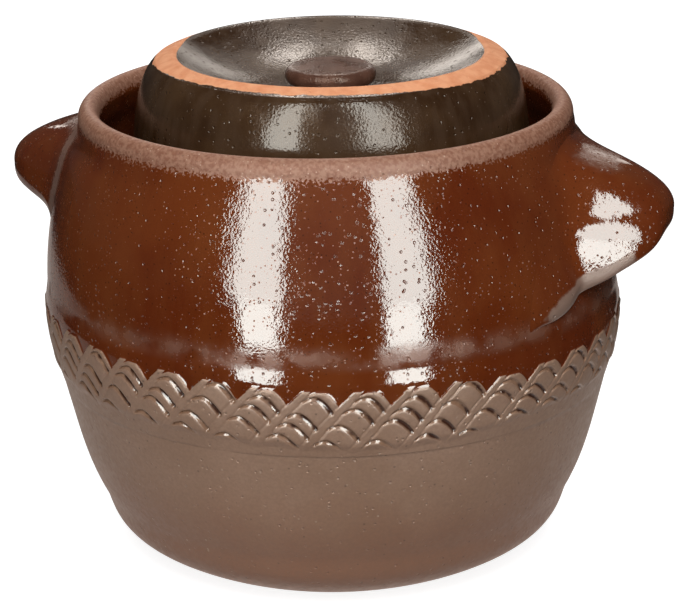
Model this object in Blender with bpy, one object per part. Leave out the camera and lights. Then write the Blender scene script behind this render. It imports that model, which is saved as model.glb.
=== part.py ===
"""Water-seal fermentation crock in glazed stoneware.

A turned body with a collar that forms the water channel, two ear handles, a bell lid with
a dished top and a button knob, and a pair of half-moon weight stones on the floor inside.
Units are metres, +Z is up, the origin is the centre of the foot, and the ears lie along X.
"""
import math

import bmesh
import bpy
import numpy as np

# Joints between pieces: fired pieces that touch keep this much between their faces.
GAP = 0.0003
MERGE_DISTANCE = 0.000001
SHARP_ANGLE = math.radians(40.0)
TURNED_SIDES = 64
KNOB_SIDES = 32

# Outline of the turned wall: its height to the rim, how far each stretch rises, and the
# radius that the outside has reached at its upper end. The belly takes up what is left.
RIM_HEIGHT = 0.1970
FOOT_RADIUS = 0.0715
HEEL_RISE = 0.0100
HEEL_RADIUS = 0.0910
FLARE_RISE = 0.0200
FLARE_RADIUS = 0.1033
LOWER_RISE = 0.0400
LOWER_RADIUS = 0.1160
BELLY_RADIUS = 0.1232
SHOULDER_RISE = 0.0370
SHOULDER_RADIUS = 0.1180
NECK_RISE = 0.0350
NECK_RADIUS = 0.1050
LIP_RISE = 0.0070

# Wall, floor and lip of the pot.
WALL = 0.0090
NECK_WALL = 0.0093
FLOOR = 0.0110
FLOOR_FILLET = 0.0150
LIP_CREST_INSET = 0.0050

# Raised belt that carries the roller pattern, measured down from the widest height. The wall
# flares out to it from above, and steps back in below it.
BELT_DROP = 0.0075
BELT_HEIGHT = 0.0255
BELT_PROUD = 0.0018
BELT_FLARE = 0.0090
BELT_EDGE = 0.0015

# Water channel: depth below the rim, the ledge that carries the collar, and the collar.
CHANNEL_DEPTH = 0.0330
FLANGE_THICKNESS = 0.0080
LEDGE_WIDTH = 0.0100
LEDGE_EDGE = 0.0030
LEDGE_UNDERCUT = 0.0140
MOUTH_RADIUS = 0.0660
COLLAR_WALL = 0.0075
COLLAR_HEIGHT = 0.0230
COLLAR_FILLET = 0.0040

# Ear handles: places are drops below the rim, angles are measured round the pot.
EAR_ROOT_DROP = 0.0085
EAR_TIP_DROP = 0.0420
EAR_REACH = 0.0263
EAR_THICKNESS = 0.0090
EAR_LEG_PROUD = 0.0040
EAR_LEG_HEIGHT = 0.0160
EAR_LONG_SIDE = math.radians(32.0)
EAR_LONG_SIDE_DROP = 0.0290
EAR_SHORT_SIDE = math.radians(20.0)
EAR_SHORT_SIDE_DROP = 0.0050
EAR_HOLLOW = 0.0150
EAR_SLICES = 17

# Bell lid: the skirt stands in the channel round the collar, the crest rises over the rim.
LID_PLAY = 0.0043
LID_WALL = 0.0065
LID_CEILING = 0.0080
LID_RISE = 0.0202
SKIRT_TAPER = 0.0105
RING_WIDTH = 0.0078
RING_DROP = 0.0020
DISH_DEPTH = 0.0170
NOTCH_RADIUS = 0.0040

# Button knob, luted into a shallow socket in the middle of the dish.
KNOB_RADIUS = 0.0193
KNOB_HEIGHT = 0.0110
KNOB_EDGE = 0.0036
KNOB_DOME = 0.0008
KNOB_FOOT_RADIUS = 0.0135
KNOB_SOCKET = 0.0020

# Weight stones: two half moons that pass through the mouth one by one.
STONE_PLAY = 0.0030
STONE_THICKNESS = 0.0180
STONE_SPLIT = 0.0020
STONE_BEVEL = 0.0025
STONE_ARC_STEPS = 24
FINGER_HOLE_RADIUS = 0.0090
FINGER_HOLE_OFFSET = 0.0310

# Heights and radii that follow from the sizes above.
HEEL_HEIGHT = HEEL_RISE
FLARE_HEIGHT = HEEL_HEIGHT + FLARE_RISE
LOWER_HEIGHT = FLARE_HEIGHT + LOWER_RISE
NECK_HEIGHT = RIM_HEIGHT - LIP_RISE
SHOULDER_HEIGHT = NECK_HEIGHT - NECK_RISE
BELLY_HEIGHT = SHOULDER_HEIGHT - SHOULDER_RISE
BELT_TOP = BELLY_HEIGHT - BELT_DROP
BELT_BOTTOM = BELT_TOP - BELT_HEIGHT
CHANNEL_FLOOR = RIM_HEIGHT - CHANNEL_DEPTH
LEDGE_TOP = CHANNEL_FLOOR - FLANGE_THICKNESS - GAP
COLLAR_RADIUS = MOUTH_RADIUS + COLLAR_WALL
LID_BASE = CHANNEL_FLOOR + GAP
LID_HEIGHT = RIM_HEIGHT + LID_RISE - LID_BASE
DISH_HEIGHT = LID_HEIGHT - DISH_DEPTH
SKIRT_RADIUS = COLLAR_RADIUS + LID_PLAY + LID_WALL
STONE_RADIUS = MOUTH_RADIUS - STONE_PLAY


def smooth_curve(heights, radii, steps):
    """Heights and radii on a smooth curve through the given ones, steps to each stretch."""
    heights = np.array(heights)
    radii = np.array(radii)
    rises = np.diff(heights)
    grades = np.diff(radii) / rises
    slopes = np.empty(len(heights))
    slopes[1:-1] = (grades[:-1] * rises[1:] + grades[1:] * rises[:-1]) / (rises[:-1] + rises[1:])
    slopes[0] = 2.0 * grades[0] - slopes[1]
    slopes[-1] = 2.0 * grades[-1] - slopes[-2]
    t = np.linspace(0.0, 1.0, steps, endpoint=False)
    all_heights = []
    all_radii = []
    for i, rise in enumerate(rises):
        all_heights.append(heights[i] + t * rise)
        all_radii.append(
            (2 * t**3 - 3 * t**2 + 1) * radii[i]
            + (t**3 - 2 * t**2 + t) * rise * slopes[i]
            + (3 * t**2 - 2 * t**3) * radii[i + 1]
            + (t**3 - t**2) * rise * slopes[i + 1]
        )
    all_heights.append([heights[-1]])
    all_radii.append([radii[-1]])
    return np.concatenate(all_heights), np.concatenate(all_radii)


OUTLINE_HEIGHTS, OUTLINE_RADII = smooth_curve(
    [0.0, HEEL_HEIGHT, FLARE_HEIGHT, LOWER_HEIGHT, BELLY_HEIGHT, SHOULDER_HEIGHT, NECK_HEIGHT],
    [FOOT_RADIUS, HEEL_RADIUS, FLARE_RADIUS, LOWER_RADIUS, BELLY_RADIUS, SHOULDER_RADIUS, NECK_RADIUS],
    steps=24,
)


def outer_radius(height):
    """Outside of the turned wall at a height, without the belt."""
    return float(np.interp(height, OUTLINE_HEIGHTS, OUTLINE_RADII))


def inner_radius(height):
    """Inside of the turned wall at a height. The wall thickens towards the lip."""
    wall = np.interp(height, [LEDGE_TOP, NECK_HEIGHT], [WALL, NECK_WALL])
    return outer_radius(height) - float(wall)


def arc(centre, width, height, start, end, steps):
    """Points on an ellipse from one angle to another, in degrees from the outward side."""
    angles = np.radians(np.linspace(start, end, steps + 1))
    return [(centre[0] + width * math.cos(a), centre[1] + height * math.sin(a)) for a in angles]


def bezier(first, first_pull, last_pull, last, steps):
    """Points on a cubic curve between two points."""
    points = []
    for t in np.linspace(0.0, 1.0, steps + 1):
        weights = ((1 - t) ** 3, 3 * t * (1 - t) ** 2, 3 * t * t * (1 - t), t**3)
        corners = (first, first_pull, last_pull, last)
        points.append(tuple(sum(w * c[axis] for w, c in zip(weights, corners)) for axis in (0, 1)))
    return points


def clear_scene():
    """Start from an empty scene."""
    for item in list(bpy.data.objects):
        bpy.data.objects.remove(item, do_unlink=True)


def make_material(name, colour, roughness):
    """A plain ceramic finish."""
    material = bpy.data.materials.new(name)
    material.use_nodes = True
    shader = material.node_tree.nodes["Principled BSDF"]
    shader.inputs["Base Color"].default_value = (*colour, 1.0)
    shader.inputs["Roughness"].default_value = roughness
    shader.inputs["Metallic"].default_value = 0.0
    material.diffuse_color = (*colour, 1.0)
    return material


def mesh_from(bm, name):
    """Close a bmesh into mesh data that shades smooth except at its edges."""
    bmesh.ops.remove_doubles(bm, verts=bm.verts, dist=MERGE_DISTANCE)
    bmesh.ops.recalc_face_normals(bm, faces=bm.faces)
    mesh = bpy.data.meshes.new(name)
    bm.to_mesh(mesh)
    bm.free()
    mesh.shade_smooth()
    mesh.set_sharp_from_angle(angle=SHARP_ANGLE)
    return mesh


def turned_mesh(name, profile, sides):
    """Spin a profile of (radius, height) pairs round Z. One that is off the axis is a closed loop."""
    bm = bmesh.new()
    verts = [bm.verts.new((radius, 0.0, height)) for radius, height in profile]
    edges = [bm.edges.new(pair) for pair in zip(verts, verts[1:])]
    if profile[0][0] > 0.0:
        edges.append(bm.edges.new((verts[-1], verts[0])))
    bmesh.ops.spin(
        bm,
        geom=verts + edges,
        cent=(0.0, 0.0, 0.0),
        axis=(0.0, 0.0, 1.0),
        angle=math.tau,
        steps=sides,
        use_merge=True,
    )
    return mesh_from(bm, name)


def add_piece(name, mesh, material, parent=None, location=(0.0, 0.0, 0.0)):
    """Put a mesh into the scene as a named piece with its own material."""
    piece = bpy.data.objects.new(name, mesh)
    bpy.context.scene.collection.objects.link(piece)
    mesh.materials.clear()
    mesh.materials.append(material)
    piece.parent = parent
    piece.location = location
    return piece


def add_cutter(name, radius, depth, location, rotation, parent=None):
    """A round bar that only cuts."""
    bm = bmesh.new()
    bmesh.ops.create_cone(
        bm, cap_ends=True, segments=KNOB_SIDES, radius1=radius, radius2=radius, depth=depth
    )
    mesh = bpy.data.meshes.new(name)
    bm.to_mesh(mesh)
    bm.free()
    cutter = bpy.data.objects.new(name, mesh)
    bpy.context.scene.collection.objects.link(cutter)
    cutter.parent = parent
    cutter.location = location
    cutter.rotation_euler = rotation
    cutter.hide_render = True
    cutter.display_type = "WIRE"
    return cutter


def cut(piece, cutter):
    """Take a cutter's shape out of a piece."""
    modifier = piece.modifiers.new(cutter.name, "BOOLEAN")
    modifier.operation = "DIFFERENCE"
    modifier.solver = "EXACT"
    modifier.object = cutter


def body_profile():
    """The pot: up the inside, over the lip, down the outside with its belt, and along the foot."""
    ledge_radius = inner_radius(LEDGE_TOP) - LEDGE_WIDTH
    ledge_root = LEDGE_TOP - LEDGE_EDGE - LEDGE_UNDERCUT
    fillet_top = FLOOR + FLOOR_FILLET
    fillet_centre = (inner_radius(fillet_top) - FLOOR_FILLET, fillet_top)
    profile = [(0.0, FLOOR)]
    profile += arc(fillet_centre, FLOOR_FILLET, FLOOR_FILLET, -90.0, 0.0, 5)
    profile += [(inner_radius(z), z) for z in np.linspace(fillet_top, ledge_root, 9)[1:]]
    profile.append((ledge_radius, LEDGE_TOP - LEDGE_EDGE))
    profile.append((ledge_radius, LEDGE_TOP))
    profile += [(inner_radius(z), z) for z in np.linspace(LEDGE_TOP, NECK_HEIGHT, 5)]
    crest = (NECK_RADIUS - LIP_CREST_INSET, NECK_HEIGHT)
    profile += arc(crest, crest[0] - inner_radius(NECK_HEIGHT), LIP_RISE, 180.0, 90.0, 4)[1:]
    profile += arc(crest, LIP_CREST_INSET, LIP_RISE, 90.0, 0.0, 4)[1:]
    flare_top = BELT_TOP + BELT_FLARE
    profile += [(outer_radius(z), z) for z in np.linspace(NECK_HEIGHT, flare_top, 9)[1:]]
    belt_heights = np.linspace(BELT_TOP, BELT_BOTTOM + BELT_EDGE, 3)
    profile += [(outer_radius(z) + BELT_PROUD, z) for z in belt_heights]
    profile += [(outer_radius(z), z) for z in BELT_BOTTOM * np.linspace(1.0, 0.0, 11) ** 1.6]
    profile.append((0.0, 0.0))
    return profile


def collar_profile():
    """The channel's floor and its inner wall, whose inside is the crock's mouth."""
    base = LEDGE_TOP + GAP
    half_wall = COLLAR_WALL / 2.0
    top_centre = (MOUTH_RADIUS + half_wall, CHANNEL_FLOOR + COLLAR_HEIGHT - half_wall)
    inner_foot = (MOUTH_RADIUS + COLLAR_FILLET, base + COLLAR_FILLET)
    outer_foot = (COLLAR_RADIUS + COLLAR_FILLET, CHANNEL_FLOOR + COLLAR_FILLET)
    profile = arc(top_centre, half_wall, half_wall, 180.0, 0.0, 6)
    profile += arc(outer_foot, COLLAR_FILLET, COLLAR_FILLET, 180.0, 270.0, 3)
    profile.append((inner_radius(CHANNEL_FLOOR) - GAP, CHANNEL_FLOOR))
    profile.append((inner_radius(base) - GAP, base))
    profile += arc(inner_foot, COLLAR_FILLET, COLLAR_FILLET, 270.0, 180.0, 3)
    return profile


def dish_height(radius, crest_radius):
    """Surface of the dish at a radius: flat round the knob, then rising to the crest."""
    share = max(0.0, radius - KNOB_FOOT_RADIUS) / (crest_radius - KNOB_FOOT_RADIUS)
    return DISH_HEIGHT + DISH_DEPTH * share**2


def lid_profile():
    """The bell: dish with its knob socket, bare ring, bevel, skirt, and the hollow below."""
    ring_radius = SKIRT_RADIUS - SKIRT_TAPER
    ring_height = LID_HEIGHT - RING_DROP
    crest_radius = ring_radius - RING_WIDTH
    socket_radius = KNOB_FOOT_RADIUS + GAP
    socket_height = DISH_HEIGHT - KNOB_SOCKET
    profile = [(0.0, socket_height), (socket_radius, socket_height)]
    dish_radii = np.linspace(socket_radius, crest_radius, 9)
    profile += [(r, dish_height(r, crest_radius)) for r in dish_radii]
    skirt = bezier(
        (ring_radius, ring_height),
        (ring_radius + 0.56 * SKIRT_TAPER, ring_height * 0.91),
        (SKIRT_RADIUS + 0.06 * SKIRT_TAPER, ring_height * 0.65),
        (SKIRT_RADIUS, 0.0),
        9,
    )
    profile += skirt
    under_corner = ring_height - LID_CEILING
    profile += [(r - LID_WALL, z) for r, z in reversed(skirt) if z < under_corner]
    under_radii = np.linspace(crest_radius, KNOB_FOOT_RADIUS, 7)
    profile += [(r, dish_height(r, crest_radius) - LID_CEILING) for r in under_radii]
    profile.append((0.0, DISH_HEIGHT - LID_CEILING))
    return profile


def knob_profile():
    """The button: slightly domed top, rounded edge, and a foot narrower than the button."""
    top = DISH_HEIGHT + KNOB_HEIGHT
    edge_height = top - KNOB_DOME - KNOB_EDGE
    profile = [(0.0, top), (KNOB_RADIUS / 2.0, top - KNOB_DOME * 0.25)]
    profile += arc((KNOB_RADIUS - KNOB_EDGE, edge_height), KNOB_EDGE, KNOB_EDGE, 90.0, 0.0, 4)
    foot = (KNOB_FOOT_RADIUS, DISH_HEIGHT)
    pull = (KNOB_FOOT_RADIUS, DISH_HEIGHT + KNOB_SOCKET)
    profile += bezier((KNOB_RADIUS, edge_height), (KNOB_RADIUS, pull[1]), pull, foot, 5)[1:]
    seat = DISH_HEIGHT - KNOB_SOCKET + GAP
    profile += [(KNOB_FOOT_RADIUS, seat), (0.0, seat)]
    return profile


def ear_slice(across):
    """One upright slice of an ear as a loop of (radius, height) pairs.

    across runs from -1 at the end of the long side to 1 at the end of the short side.
    """
    swell = math.cos(across * math.pi / 2.0)
    end_drop = EAR_LONG_SIDE_DROP if across < 0.0 else EAR_SHORT_SIDE_DROP
    tip_height = RIM_HEIGHT - EAR_TIP_DROP - end_drop * (1.0 - swell**1.2)
    end_top = RIM_HEIGHT - EAR_TIP_DROP - end_drop + EAR_LEG_HEIGHT
    root_height = end_top + (RIM_HEIGHT - EAR_ROOT_DROP - end_top) * swell**1.3
    thickness = EAR_LEG_PROUD + (EAR_THICKNESS - EAR_LEG_PROUD) * swell
    reach = EAR_LEG_PROUD + EAR_REACH * swell**1.6
    tip_radius = outer_radius(tip_height) + GAP + reach
    nose_top = (tip_radius - 0.18 * thickness, tip_height + 0.55 * thickness)
    nose_low = (tip_radius - 0.45 * thickness, tip_height - 0.50 * thickness)
    root = (outer_radius(root_height) + GAP, root_height)
    under_height = nose_low[1] + EAR_HOLLOW * swell
    under = (outer_radius(under_height) + GAP, under_height)
    overhang = nose_top[0] - root[0]
    drop = root[1] - nose_top[1]
    loop = bezier(
        root,
        (root[0] + 0.15 * overhang, root[1] - 0.28 * drop),
        (nose_top[0] - 0.11 * overhang, nose_top[1] + 0.52 * drop),
        nose_top,
        7,
    )
    loop += bezier(
        nose_top,
        (nose_top[0] + 0.22 * thickness, nose_top[1] - 0.25 * thickness),
        (nose_low[0] + 0.45 * thickness, nose_low[1]),
        nose_low,
        4,
    )[1:]
    span = nose_low[0] - under[0]
    loop += bezier(
        nose_low,
        (nose_low[0] - 0.15 * span, nose_low[1] + 0.65 * EAR_HOLLOW * swell),
        (under[0] + 0.40 * span, under[1] + 0.10 * EAR_HOLLOW * swell),
        under,
        5,
    )[1:]
    wall_heights = np.linspace(under_height, root_height, 7)[1:-1]
    loop += [(outer_radius(z) + GAP, z) for z in wall_heights]
    return loop


def ear_mesh():
    """An ear as slices round the pot, skinned between neighbours and capped at both ends."""
    bm = bmesh.new()
    rings = []
    for across in np.linspace(-1.0, 1.0, EAR_SLICES):
        side = EAR_LONG_SIDE if across < 0.0 else EAR_SHORT_SIDE
        angle = across * side
        loop = ear_slice(across)
        rings.append([bm.verts.new((r * math.cos(angle), r * math.sin(angle), z)) for r, z in loop])
    for ring, following in zip(rings, rings[1:]):
        for i in range(len(ring)):
            j = (i + 1) % len(ring)
            bm.faces.new((ring[i], ring[j], following[j], following[i]))
    bm.faces.new(rings[0])
    bm.faces.new(rings[-1])
    return mesh_from(bm, "ear")


def stone_mesh():
    """A half moon on the +X side of the split, standing on its own underside."""
    bm = bmesh.new()
    inset = STONE_SPLIT / 2.0
    half_angle = math.acos(inset / STONE_RADIUS)
    angles = np.linspace(-half_angle, half_angle, STONE_ARC_STEPS + 1)
    verts = [bm.verts.new((STONE_RADIUS * math.cos(a), STONE_RADIUS * math.sin(a), 0.0)) for a in angles]
    face = bm.faces.new(verts)
    raised = bmesh.ops.extrude_face_region(bm, geom=[face])
    top = [item for item in raised["geom"] if isinstance(item, bmesh.types.BMVert)]
    bmesh.ops.translate(bm, verts=top, vec=(0.0, 0.0, STONE_THICKNESS))
    return mesh_from(bm, "half_moon")


def add_body():
    """The pot, its channel collar and its two ears."""
    glaze = make_material("red_brown_glaze", (0.105, 0.022, 0.007), 0.18)
    channel_glaze = make_material("dark_channel_glaze", (0.030, 0.014, 0.008), 0.30)
    add_piece("crock_body", turned_mesh("crock_body", body_profile(), TURNED_SIDES), glaze)
    collar = turned_mesh("water_channel_collar", collar_profile(), TURNED_SIDES)
    add_piece("water_channel_collar", collar, channel_glaze)
    ear_glaze = make_material("ear_glaze", (0.110, 0.024, 0.007), 0.16)
    ear = ear_mesh()
    add_piece("handle_right", ear, ear_glaze)
    left = add_piece("handle_left", ear, ear_glaze)
    left.rotation_euler = (0.0, 0.0, math.pi)


def add_lid():
    """The bell lid and its knob, carried by an empty at the middle of the skirt's lower edge."""
    lid_glaze = make_material("black_brown_glaze", (0.032, 0.020, 0.012), 0.15)
    knob_glaze = make_material("knob_glaze", (0.060, 0.022, 0.014), 0.25)
    lid = bpy.data.objects.new("lid_slide", None)
    bpy.context.scene.collection.objects.link(lid)
    lid.location = (0.0, 0.0, LID_BASE)
    shell = add_piece("lid_shell", turned_mesh("lid_shell", lid_profile(), TURNED_SIDES), lid_glaze, lid)
    notch = add_cutter(
        "gas_notches",
        NOTCH_RADIUS,
        2.0 * SKIRT_RADIUS + 2.0 * LID_WALL,
        (0.0, 0.0, 0.0),
        (math.pi / 2.0, 0.0, 0.0),
        lid,
    )
    cut(shell, notch)
    add_piece("lid_knob", turned_mesh("lid_knob", knob_profile(), KNOB_SIDES), knob_glaze, lid)


def add_stones():
    """Two weight stones side by side on the floor of the pot, each with a finger hole."""
    stone_finish = make_material("unglazed_stone", (0.42, 0.36, 0.29), 0.85)
    for name, turn in (("weight_stone_right", 0.0), ("weight_stone_left", math.pi)):
        stone = add_piece(name, stone_mesh(), stone_finish, location=(0.0, 0.0, FLOOR + GAP))
        stone.rotation_euler = (0.0, 0.0, turn)
        rounding = stone.modifiers.new("rounded_edges", "BEVEL")
        rounding.width = STONE_BEVEL
        rounding.segments = 2
        rounding.limit_method = "ANGLE"
        hole = add_cutter(
            name + "_finger_hole",
            FINGER_HOLE_RADIUS,
            4.0 * STONE_THICKNESS,
            (FINGER_HOLE_OFFSET, 0.0, STONE_THICKNESS / 2.0),
            (0.0, 0.0, 0.0),
            stone,
        )
        cut(stone, hole)


clear_scene()
add_body()
add_lid()
add_stones()
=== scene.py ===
"""Looks of a water-seal fermentation crock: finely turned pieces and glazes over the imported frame.

Units are metres, +Z is up, the origin is the centre of the foot and the ears lie along X. An
azimuth is measured round Z from the side that faces the camera, growing to the picture's right.
"""
import math

import bpy
import numpy as np
from mathutils import Matrix, Vector


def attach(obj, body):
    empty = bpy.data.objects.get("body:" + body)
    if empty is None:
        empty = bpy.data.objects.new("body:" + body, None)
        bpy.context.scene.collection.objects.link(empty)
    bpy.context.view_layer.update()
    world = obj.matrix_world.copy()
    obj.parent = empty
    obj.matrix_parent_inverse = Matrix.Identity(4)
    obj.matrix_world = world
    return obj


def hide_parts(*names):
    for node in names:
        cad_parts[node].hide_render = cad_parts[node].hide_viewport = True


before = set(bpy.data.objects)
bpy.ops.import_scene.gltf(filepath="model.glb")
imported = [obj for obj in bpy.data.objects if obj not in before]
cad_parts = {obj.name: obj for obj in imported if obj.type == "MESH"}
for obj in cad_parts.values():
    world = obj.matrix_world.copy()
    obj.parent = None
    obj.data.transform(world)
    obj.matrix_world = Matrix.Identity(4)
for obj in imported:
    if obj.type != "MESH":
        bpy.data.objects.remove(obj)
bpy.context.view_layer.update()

MM = 0.001
WHITE = (1.0, 1.0, 1.0)
SHARP_ANGLE = math.radians(50.0)

# Camera: fitted to the outlines of the rim, the lid, the knob and the foot.
IMAGE_WIDTH = 680.0
CAMERA_TURN = math.radians(18.3)
CAMERA_ELEVATION = math.radians(18.42)
CAMERA_ROLL = math.radians(-0.88)
CAMERA_DISTANCE = 1.1429
CAMERA_TARGET = 0.10677
CAMERA_LENS = 139.29
SENSOR_WIDTH = 36.0
CAMERA_SHIFT = (6.0 / IMAGE_WIDTH, -8.1 / IMAGE_WIDTH)

# Outline of the turned wall, as in the source: heights and the radii reached there.
RIM_HEIGHT = 0.1970
NECK_HEIGHT = 0.1900
BELLY_HEIGHT = 0.1180
OUTLINE = (
    (0.0000, 0.0715),
    (0.0100, 0.0910),
    (0.0300, 0.1033),
    (0.0700, 0.1160),
    (BELLY_HEIGHT, 0.1232),
    (0.1550, 0.1180),
    (NECK_HEIGHT, 0.1050),
)
OUTLINE_STEPS = 24
WALL = 0.0090
NECK_WALL = 0.0093
FLOOR = 0.0110
FLOOR_FILLET = 0.0150
LIP_RISE = RIM_HEIGHT - NECK_HEIGHT
LIP_RADIUS = 0.1000
FOOT_EDGE = 0.0010

# How the clay moved: the neck leans and is drawn in at both sides, and the right side is flat.
SIDE_REACH = 0.1200
NECK_LEAN = -0.0025
LEAN_START = 0.1200
NECK_GROOVE = 0.0030
NECK_GROOVE_HEIGHT = 0.1830
NECK_GROOVE_SPREAD = 0.0050
FLAT_DEPTH = 0.0018
FLAT_HEIGHT = 0.1330
FLAT_SPREAD = 0.0300

# Water channel and collar.
CHANNEL_FLOOR = 0.1640
FLANGE_THICKNESS = 0.0080
GAP = 0.0003
LEDGE_TOP = CHANNEL_FLOOR - FLANGE_THICKNESS - GAP
LEDGE_WIDTH = 0.0100
LEDGE_EDGE = 0.0030
LEDGE_UNDERCUT = 0.0140
MOUTH_RADIUS = 0.0660
COLLAR_WALL = 0.0075
COLLAR_HEIGHT = 0.0230
COLLAR_FILLET = 0.0040

# Belt: a roller pattern of leaning bars with stacks of curved grooves between them.
BELT_RADIUS = 0.1245
BELT_REPEATS = 38
BELT_HEIGHT = 0.0255
BELT_PROUD = 0.0018
BELT_FLARE = 0.0010
BELT_FLARE_RISE = 0.0090
BELT_FIRST_ROW = 0.1245
BELT_LAST_ROW = 0.0800
BELT_ROW = 0.0004
# The roller wandered: azimuths, and in millimetres the belt's lower edge and how tall it is there.
BELT_LOWER_EDGE = (
    (-180, 86.5),
    (-120, 87.5),
    (-64, 88.5),
    (-50, 88.0),
    (-30, 87.5),
    (-10, 85.5),
    (0, 84.5),
    (12, 84.0),
    (22, 85.0),
    (30, 86.0),
    (41, 88.0),
    (70, 88.0),
    (120, 87.0),
    (180, 86.5),
)
BELT_TALLNESS = (
    (-180, 25.5),
    (-54, 25.3),
    (-30, 25.0),
    (-10, 24.3),
    (0, 25.0),
    (21, 25.0),
    (29, 22.5),
    (38, 20.5),
    (60, 21.0),
    (100, 24.0),
    (180, 25.5),
)
# Bars lean and bend, end short of the belt's edge and stand between dents.
BAR_LEAN = 0.71
BAR_SWEEP = 0.0035
BAR_PHASE = 0.0085
BAR_RISE = 0.0001
BAR_WIDTH = 0.0012
BAR_END_WIDTH = 0.0013
BAR_END_DROP = 0.0003
DENT_PLACE = 0.0021
DENT_WIDTH = 0.0005
DENT_DEPTH = 0.0003
# The pads between the bars swell, and their lower ends are scalloped.
PAD_RISE = 0.00035
PAD_END_DROP = 0.0006
SCALLOP = 0.0012
# Each groove climbs to a crest, given as a share of the way from bar to bar, and falls behind it.
GROOVE_LEVELS = (0.0035, 0.0108, 0.0170, 0.0229)
GROOVE_DEPTH = 0.0010
GROOVE_WIDTH = 0.00060
GROOVE_CREST = 0.27
GROOVE_CLIMB = 0.17
GROOVE_CLIMB_DROP = 0.0018
GROOVE_FALL_DROP = 0.0082
GROOVE_FALL_BEND = 1.35
GROOVE_LOWEST_DROP = 0.0095
GROOVE_STEEP_BELOW = 0.35
GROOVE_STEEP_ABOVE = 1.6
GROOVE_JITTER = 0.0012

# Bell lid and knob.
LID_BASE = CHANNEL_FLOOR + GAP
LID_TOP = 0.2172
LID_WALL = 0.0065
LID_CEILING = 0.0080
SKIRT_RADIUS = 0.0843
SKIRT_TAPER = 0.0105
RING_RADIUS = SKIRT_RADIUS - SKIRT_TAPER
RING_WIDTH = 0.0078
RING_DROP = 0.0028
CREST_RADIUS = RING_RADIUS - RING_WIDTH
# Soft edges of the dish's crest and of the ring: steps out and up from the sharp corner.
CREST_EDGE = ((0.0, -0.0002), (0.0004, 0.0), (0.0009, 0.0), (0.0015, -0.0003))
RING_EDGE = ((-0.0008, 0.0003), (-0.0001, 0.0001), (0.0003, -0.0002), (0.0008, -0.0008))
DISH_DEPTH = 0.0170
DISH_HEIGHT = LID_TOP - DISH_DEPTH
NOTCH_RADIUS = 0.0040
NOTCH_REACH = 0.0120
KNOB_RADIUS = 0.0193
KNOB_HEIGHT = 0.0110
KNOB_EDGE = 0.0036
KNOB_DOME = 0.0008
KNOB_FOOT_RADIUS = 0.0135
KNOB_SOCKET = 0.0020

# Ears: angles run round the pot from the ear's middle, the long side faces the camera on the right.
EAR_REACH = 0.0342
EAR_SINK = 0.0006
EAR_ROOT = 0.1890
EAR_FALL = 0.0304
EAR_HOLLOW = 0.0150
EAR_LONG_SIDE = 33.0
EAR_SHORT_SIDE = 26.0
EAR_SHORT_SPREAD = 8.8
EAR_SLICES = 151
EAR_TOP_STEPS = 36
EAR_NOSE_STEPS = 14
EAR_UNDER_STEPS = 18
EAR_CURVE_STEPS = 6
# Along the crest from the root down: shares of the fall and shares of the reach.
EAR_CREST = (
    (0.00, 0.00),
    (0.10, 0.02),
    (0.20, 0.12),
    (0.29, 0.31),
    (0.45, 0.65),
    (0.68, 0.93),
    (0.85, 1.00),
    (1.00, 0.98),
)
# The long side is cut off by a flank that faces this angle: heights and distances from the axis.
EAR_FACE_ANGLE = -65.7
EAR_FACE = (
    (0.1200, 0.0822),
    (0.1360, 0.0818),
    (0.1500, 0.0811),
    (0.1545, 0.0802),
    (0.1585, 0.0787),
    (0.1605, 0.0770),
    (0.1655, 0.0743),
    (0.1750, 0.0688),
    (0.1800, 0.0648),
    (0.1890, 0.0540),
)
EAR_ROUNDING = 0.0080
# How widely an ear blends into the wall: on the long side by heights.
EAR_FILLET_HEIGHTS = (0.1500, 0.1650, 0.1720, 0.1840, EAR_ROOT)
EAR_LONG_FILLETS = (0.0030, 0.0080, 0.0080, 0.0030, 0.0004)
EAR_SHORT_FILLET = 0.0030
EAR_BLEND_ANGLE = 6.0
# Angle, then in millimetres: height of the lip's lower edge, its thickness, and its stand as a ridge.
EAR_LIP = (
    (-33.0, 121.0, 1.5, 0.4),
    (-29.0, 123.0, 4.0, 1.6),
    (-25.0, 123.8, 6.0, 2.9),
    (-21.5, 125.8, 6.6, 3.5),
    (-17.5, 129.3, 6.6, 3.0),
    (-15.0, 132.6, 5.6, 2.6),
    (-13.0, 135.6, 5.0, 2.0),
    (-11.0, 139.4, 5.8, 1.0),
    (-9.0, 143.2, 7.2, 0.0),
    (-7.0, 146.6, 8.2, 0.0),
    (-5.0, 149.0, 8.6, 0.0),
    (0.0, 151.0, 8.8, 0.0),
    (12.0, 149.5, 7.5, 0.0),
    (20.0, 147.5, 4.0, 0.0),
    (26.0, 146.0, 1.5, 0.0),
)

# Stage: the tall lamps in front are a little cool, and what the glaze mirrors from behind is warm.
COOL = (0.96, 1.0, 0.95)
WARM = (1.0, 0.92, 0.84)
SOFTBOX_DISTANCE = 0.60
SOFTBOX_BOTTOM = 0.018
SOFTBOX_SPLIT = 0.160
SOFTBOX_LEVEL = 16.8
SOFTBOX_FOOT_WIDTH = 0.142
SOFTBOX_FOOT_LEVEL = 20.5
STAGE_SIZE = 3.0
STAGE_HEIGHT = -0.0002
STAGE_MIRRORED = (1.0, 0.85, 0.77)
STAGE_ROUND_AZIMUTH = -158.0
STAGE_ROUND_DISTANCE = 0.27
WORLD_LIGHT = 0.07
WORLD_MIRRORED = 0.04

COARSE_COLUMNS = 360
FINE_COLUMNS = 1800
LID_COLUMNS = 720
KNOB_COLUMNS = 144


def horizontal(azimuth):
    """Unit vector at an azimuth."""
    angle = math.radians(azimuth - 90.0) + CAMERA_TURN
    return Vector((math.cos(angle), math.sin(angle), 0.0))


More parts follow.
